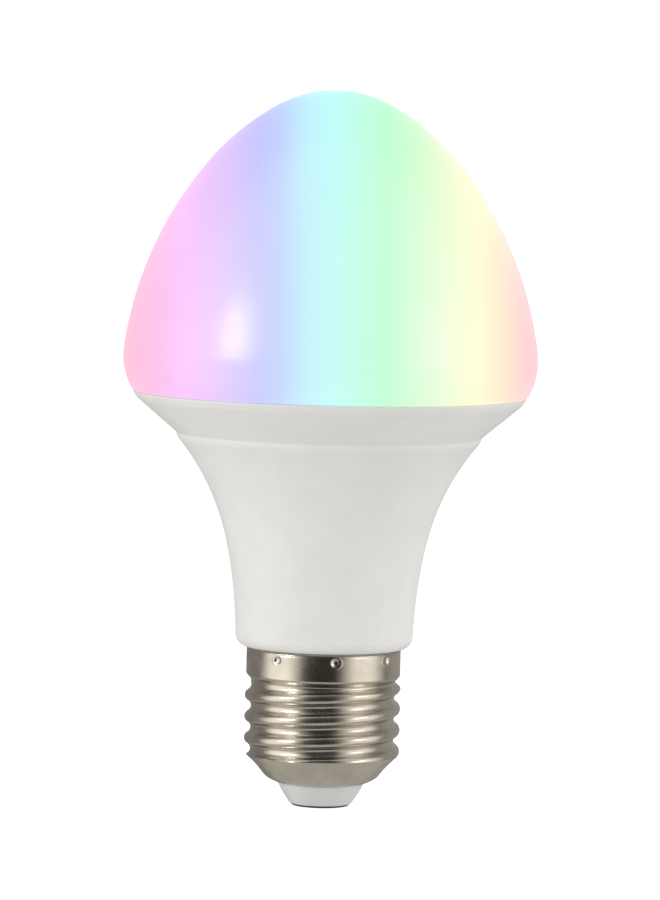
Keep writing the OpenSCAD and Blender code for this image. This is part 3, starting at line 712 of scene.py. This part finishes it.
def capacitor_material(name, node, side, sleeve_rgb):
    """Shrink sleeve with a dashed pale stripe, a bare aluminium end and two leads. side is 1 for a can
    on the board's +Y side, and -1 for one on its -Y side."""
    low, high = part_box(node)
    radius = (high.x - low.x) / 2
    centre_y = high.y - radius if side > 0 else low.y + radius

    def off_axis(tree, x, y):
        return (maths(tree, "SUBTRACT", x, (low.x + high.x) / 2), maths(tree, "SUBTRACT", y, centre_y))

    def is_metal(tree, x, y, z):
        away = length_of(tree, *off_axis(tree, x, y))
        end = maths(tree, "MULTIPLY", maths(tree, "GREATER_THAN", z, high.z - CAN_END * MM),
                    maths(tree, "LESS_THAN", away, radius - SLEEVE_EDGE * MM))
        return maths(tree, "MAXIMUM", end, maths(tree, "LESS_THAN", z, low.z + CAN_LEADS * MM))

    def stripe(tree, x, y, z):
        dx, dy = off_axis(tree, x, y)
        turned = maths(tree, "ABSOLUTE", maths(tree, "ARCTAN2", dx, maths(tree, "MULTIPLY", dy, side)))
        phase = maths(tree, "FRACT", maths(tree, "DIVIDE", z, DASH_PITCH * MM))
        dash = maths(tree, "LESS_THAN", phase, DASH_SHARE)
        return maths(tree, "MULTIPLY", maths(tree, "LESS_THAN", turned, STRIPE_HALF_ANGLE), dash)

    return two_finishes(name, sleeve_rgb, 0.22, is_metal, stripe)


def on_leads(limit_mm):
    """1 within limit_mm of the driver board's middle plane, where a part has only its leads."""
    def is_metal(tree, x, y, z):
        return maths(tree, "LESS_THAN", maths(tree, "ABSOLUTE", y), limit_mm * MM)
    return is_metal


def resistor_bands(tree, x, y, z):
    """Three dark rings along the resistor's body."""
    low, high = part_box("fusible_resistor")
    band_pitch = 3.5
    from_middle = maths(tree, "SUBTRACT", z, (low.z + high.z) / 2)
    along_body = maths(tree, "MULTIPLY", from_middle, 1 / (band_pitch * MM))
    phase = maths(tree, "FRACT", maths(tree, "ADD", along_body, 0.3))
    return maths(tree, "MULTIPLY", maths(tree, "LESS_THAN", phase, 0.35),
                 maths(tree, "LESS_THAN", maths(tree, "ABSOLUTE", along_body), 0.8))


def tape_material():
    """Yellow polyester tape in overlapping turns, shiny, with the copper faintly showing."""
    material, tree, shader = new_material("winding_tape", Coat_Weight=0.6, Coat_Roughness=0.12)
    point, _, _, z = place_of(tree)
    lap_pitch = 2.2
    lap = maths(tree, "FRACT", maths(tree, "DIVIDE", z, lap_pitch * MM))
    wires = noise(tree, combined(tree, 0.0, 0.0, z), 0.3)
    tree.links.new(mixed(tree, smooth_range(tree, wires, 0.35, 0.65), (0.93, 0.74, 0.16),
                         (0.86, 0.62, 0.14)), shader.inputs["Base Color"])
    tree.links.new(smooth_range(tree, noise(tree, point, 1.5), 0.3, 0.7, 0.2, 0.32),
                   shader.inputs["Roughness"])
    tree.links.new(bumped(tree, wires, 0.02, under=bumped(tree, lap, 0.06)), shader.inputs["Normal"])
    return material


def enamelled_copper():
    """Copper wire under clear red-brown enamel."""
    material, tree, shader = new_material("enamelled_copper", Metallic=0.85, Coat_Weight=0.8,
                                          Coat_Roughness=0.1)
    point = place_of(tree)[0]
    cloud = noise(tree, point, 0.8, detail=3)
    tree.links.new(ramp(tree, cloud, [(0.3, (0.70, 0.32, 0.15)), (0.7, (0.82, 0.43, 0.22))]),
                   shader.inputs["Base Color"])
    tree.links.new(smooth_range(tree, cloud, 0.3, 0.7, 0.2, 0.3), shader.inputs["Roughness"])
    tree.links.new(bumped(tree, noise(tree, point, 0.15), 0.003), shader.inputs["Normal"])
    return material


COLOUR_COUNT = 6
COLOUR_RING_R = 13.5
# Place of each chip in its window, outwards and sideways, and its colour.
DIES = [((-0.75, 0.55), (0.45, 0.10, 0.08)), ((0.75, 0.55), (0.12, 0.30, 0.16)),
        ((0.0, -0.7), (0.12, 0.20, 0.42))]
DIE_HALF = 0.38


def led_window_material():
    """Clear resin over three small chips, the same in each of the ring of colour LEDs."""
    material, tree, shader = new_material("led_window", Coat_Weight=1.0, Coat_Roughness=0.04)
    point, x, y, _ = place_of(tree)
    turn = maths(tree, "ARCTAN2", y, x)
    sector = TURN / COLOUR_COUNT
    nearest = maths(tree, "MULTIPLY", maths(tree, "ROUND", maths(tree, "DIVIDE", turn, sector)), sector)
    local = maths(tree, "SUBTRACT", turn, nearest)
    radius = length_of(tree, x, y)
    out = maths(tree, "SUBTRACT", maths(tree, "MULTIPLY", radius, maths(tree, "COSINE", local)),
                COLOUR_RING_R * MM)
    side = maths(tree, "MULTIPLY", radius, maths(tree, "SINE", local))
    colour = mixed(tree, noise(tree, point, 0.6), (0.84, 0.85, 0.84), (0.92, 0.92, 0.90))
    for (u, v), rgb in DIES:
        off = maths(tree, "MAXIMUM",
                    maths(tree, "ABSOLUTE", maths(tree, "SUBTRACT", out, u * MM)),
                    maths(tree, "ABSOLUTE", maths(tree, "SUBTRACT", side, v * MM)))
        colour = mixed(tree, maths(tree, "LESS_THAN", off, DIE_HALF * MM), colour, rgb)
    tree.links.new(colour, shader.inputs["Base Color"])
    tree.links.new(smooth_range(tree, noise(tree, point, 1.2), 0.3, 0.7, 0.12, 0.2),
                   shader.inputs["Roughness"])
    tree.links.new(bumped(tree, noise(tree, point, 0.8), 0.01), shader.inputs["Normal"])
    return material


def paint_cad_nodes():
    """A finish for each part inside the bulb, whose exact CAD shape stays."""
    aluminium = spun_metal("spun_aluminium", (0.86, 0.865, 0.87))
    tin = moulded("tinned_metal", (0.84, 0.84, 0.84), 0.24, 0.05, 0.3, 0.005, metal=1.0)
    gold = moulded("gold_flash", (0.90, 0.76, 0.42), 0.22, 0.05, 0.2, 0.003, metal=1.0)
    zinc = spun_metal("zinc_steel", (0.74, 0.74, 0.77), 0.3, 0.15)
    black = moulded("black_moulding", (0.13, 0.13, 0.135), 0.5, 0.12, 0.15, 0.008)
    package = moulded("led_package", (0.94, 0.94, 0.92), 0.42, 0.02, 0.12, 0.004)
    ferrite = moulded("ferrite", (0.27, 0.27, 0.28), 0.62, 0.15, 0.2, 0.012)
    finishes = {
        "dome_seal": moulded("silicone", (0.92, 0.92, 0.90), 0.35, 0.03, 0.6, 0.01,
                             Subsurface_Weight=0.3, Subsurface_Scale=0.002),
        "heat_sink_cup": aluminium,
        "mounting_plate": aluminium,
        "thermal_pad": moulded("thermal_pad", (0.56, 0.61, 0.64), 0.8, 0.08, 0.25, 0.02),
        "led_board": board_material("white_board", (0.85, 0.85, 0.84), (0.96, 0.96, 0.95),
                                    polar_plane, 1.0, 1.0),
        "white_leds": package,
        "white_led_phosphors": moulded("phosphor_gel", (0.98, 0.80, 0.24), 0.4, 0.06, 0.1, 0.01,
                                       Subsurface_Weight=0.2, Subsurface_Scale=0.0005),
        "colour_leds": package,
        "colour_led_windows": led_window_material(),
        "led_board_screws": zinc,
        "board_socket": moulded("natural_nylon", (0.91, 0.90, 0.86), 0.4, 0.03, 0.2, 0.005,
                                Subsurface_Weight=0.1, Subsurface_Scale=0.001),
        "driver_pins": gold,
        "pin_header": black,
        "radio_board": board_material("blue_board", (0.05, 0.08, 0.17), (0.09, 0.14, 0.30),
                                      upright_plane, 2.6, 1.1),
        "radio_shield": tin,
        "radio_chip": black,
        "radio_antenna": spun_metal("antenna_copper", (0.86, 0.55, 0.36), 0.3, 0.2),
        "radio_pins": gold,
        "driver_sleeve": moulded("sleeve_moulding", (0.91, 0.91, 0.88), 0.48, 0.02, 0.5, 0.006,
                                 Subsurface_Weight=0.15, Subsurface_Scale=0.002),
        "driver_board": board_material("green_board", (0.06, 0.24, 0.13), (0.11, 0.38, 0.20),
                                       upright_plane, 4.2, 2.1),
        "rectifier": two_finishes("rectifier_case", (0.13, 0.13, 0.135), 0.5, on_leads(0.86)),
        "driver_chip": two_finishes("chip_case", (0.12, 0.12, 0.125), 0.5, on_leads(0.86)),
        "input_capacitor": capacitor_material("input_can", "input_capacitor", 1, (0.12, 0.17, 0.36)),
        "output_capacitor": capacitor_material("output_can", "output_capacitor", -1,
                                               (0.10, 0.10, 0.12)),
        "film_capacitor": two_finishes("film_case", (0.88, 0.70, 0.12), 0.3, on_leads(0.88)),
        "transformer_core": ferrite,
        "transformer_bobbin": two_finishes("bobbin", (0.13, 0.13, 0.135), 0.45, on_leads(0.68)),
        "transformer_winding": tape_material(),
        "choke_core": ferrite,
        "choke_winding": enamelled_copper(),
        "fusible_resistor": two_finishes("resistor_coat", (0.48, 0.60, 0.53), 0.4, on_leads(0.7),
                                         resistor_bands, (0.25, 0.16, 0.10)),
        "varistor": two_finishes("varistor_coat", (0.11, 0.30, 0.68), 0.25, on_leads(1.1)),
        "smd_parts": moulded("chip_parts", (0.50, 0.46, 0.42), 0.35, 0.5, 0.25, 0.01),
        "solder_joints": moulded("bright_solder", (0.83, 0.84, 0.86), 0.26, 0.06, 0.3, 0.012,
                                 metal=1.0),
        "live_wire": moulded("red_insulation", (0.74, 0.13, 0.10), 0.4, 0.05, 0.2, 0.004),
        "neutral_wire": moulded("white_insulation", (0.91, 0.89, 0.84), 0.4, 0.03, 0.2, 0.004),
    }
    for node, material in finishes.items():
        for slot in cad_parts[node].material_slots:
            slot.material = material


paint_cad_nodes()

# ---------------------------------------------------------------- stage

# Millimetres, as for every lathe.
FLOOR_R = 6000
FLOOR_T = 20


def add_floor():
    """Large pale floor that the contact stands on, with a glow of its own, unseen in reflections."""
    outline = [(0, 0), (FLOOR_R, 0), (FLOOR_R, -FLOOR_T), (0, -FLOOR_T)]
    floor = lathe("floor", outline, columns=96)
    material, tree, shader = new_material("pale_floor", Roughness=0.9, Specular_IOR_Level=0.0)
    point = place_of(tree)[0]
    cloud = noise(tree, point, 60, detail=2)
    tree.links.new(ramp(tree, cloud, [(0.3, (0.66, 0.66, 0.66)), (0.7, (0.67, 0.67, 0.67))]),
                   shader.inputs["Base Color"])
    seen = add_node(tree, "ShaderNodeLightPath").outputs["Is Camera Ray"]
    shader.inputs["Emission Color"].default_value = (1, 1, 1, 1)
    tree.links.new(between(tree, seen, 0.36, 0.85), shader.inputs["Emission Strength"])
    floor.visible_glossy = False
    floor.data.materials.append(material)


def strip(tree, azimuth, low, high, soft, strength):
    """Light of an upright softbox between two azimuths in degrees, with soft edges."""
    rise = smooth_range(tree, azimuth, math.radians(low - soft), math.radians(low + soft), 0.0, strength)
    fall = smooth_range(tree, azimuth, math.radians(high - soft), math.radians(high + soft), 1.0, 0.0)
    return maths(tree, "MULTIPLY", rise, fall)


# Softboxes painted on the world: two azimuths in degrees, softness of the edges, and strength.
KEY_STRIP = (-96, -42, 14, 1.2)
FILL_STRIP = (38, 92, 18, 1.1)
REAR_STRIP = (110, 170, 14, 0.14)
SIDE_STRIP = (55, 145, 20, 0.62)


def reflected_studio(tree, azimuth, height):
    """What shiny surfaces reflect: a dark flag by the camera, a softbox on each side, a dim room."""
    off_front = maths(tree, "ABSOLUTE", azimuth)
    room = smooth_range(tree, off_front, math.radians(16), math.radians(42), 0.05, 0.28)
    left = strip(tree, azimuth, *KEY_STRIP)
    right = maths(tree, "ADD", strip(tree, azimuth, *FILL_STRIP), strip(tree, azimuth, *REAR_STRIP))
    walls = maths(tree, "ADD", room, maths(tree, "ADD", left, right))
    above = maths(tree, "MULTIPLY_ADD", walls, 0.65, 0.06)
    up = smooth_range(tree, height, 0.25, 0.7)
    down = smooth_range(tree, height, -0.75, -0.4, 1.0, 0.0)
    return between(tree, down, between(tree, up, walls, above), 0.60)


def add_world():
    """White backdrop, soft light that is dimmest from the front, and a studio for reflections."""
    world = bpy.data.worlds.new("studio")
    bpy.context.scene.world = world
    world.use_nodes = True
    tree = world.node_tree
    split = add_node(tree, "ShaderNodeSeparateXYZ",
                     {0: add_node(tree, "ShaderNodeTexCoord").outputs["Generated"]})
    ahead = maths(tree, "MULTIPLY", split.outputs[1], -1.0)
    azimuth = maths(tree, "ARCTAN2", split.outputs[0], ahead)
    off_front = maths(tree, "ABSOLUTE", azimuth)
    ring = smooth_range(tree, off_front, math.radians(15), math.radians(65), 0.51, 0.91)
    even = maths(tree, "ADD", ring, strip(tree, azimuth, *SIDE_STRIP))
    path = add_node(tree, "ShaderNodeLightPath")
    studio = reflected_studio(tree, azimuth, split.outputs[2])
    light = between(tree, path.outputs["Is Glossy Ray"], even, studio)
    strength = between(tree, path.outputs["Is Camera Ray"], light, 1.0)
    tree.links.new(strength, tree.nodes["Background"].inputs["Strength"])
    warmth = mixed(tree, path.outputs["Is Glossy Ray"], (1, 1, 1), (1, 0.995, 0.975))
    tree.links.new(warmth, tree.nodes["Background"].inputs["Color"])


LAMP_AIM = Vector((0, 0, 0.08))


def add_softbox(name, azimuth, elevation, distance, width, height, power):
    """Area light that faces the bulb. Azimuth 0 is at the camera, and 90 at +X."""
    a, e = math.radians(azimuth), math.radians(elevation)
    place = LAMP_AIM + distance * Vector((math.sin(a) * math.cos(e), -math.cos(a) * math.cos(e),
                                          math.sin(e)))
    lamp = bpy.data.lights.new(name, "AREA")
    lamp.shape = "ELLIPSE"
    lamp.size, lamp.size_y = width, height
    lamp.energy = power
    box = bpy.data.objects.new(name, lamp)
    turn = (LAMP_AIM - place).to_track_quat("-Z", "Y").to_matrix().to_4x4()
    box.matrix_world = Matrix.Translation(place) @ turn
    bpy.context.scene.collection.objects.link(box)


add_floor()
add_world()
add_softbox("key_left", -55, 16, 0.9, 0.24, 0.25, 2.25)
add_softbox("fill_right", 58, 11, 0.9, 0.36, 0.27, 0.56)
bpy.context.scene.view_settings.view_transform = "Standard"
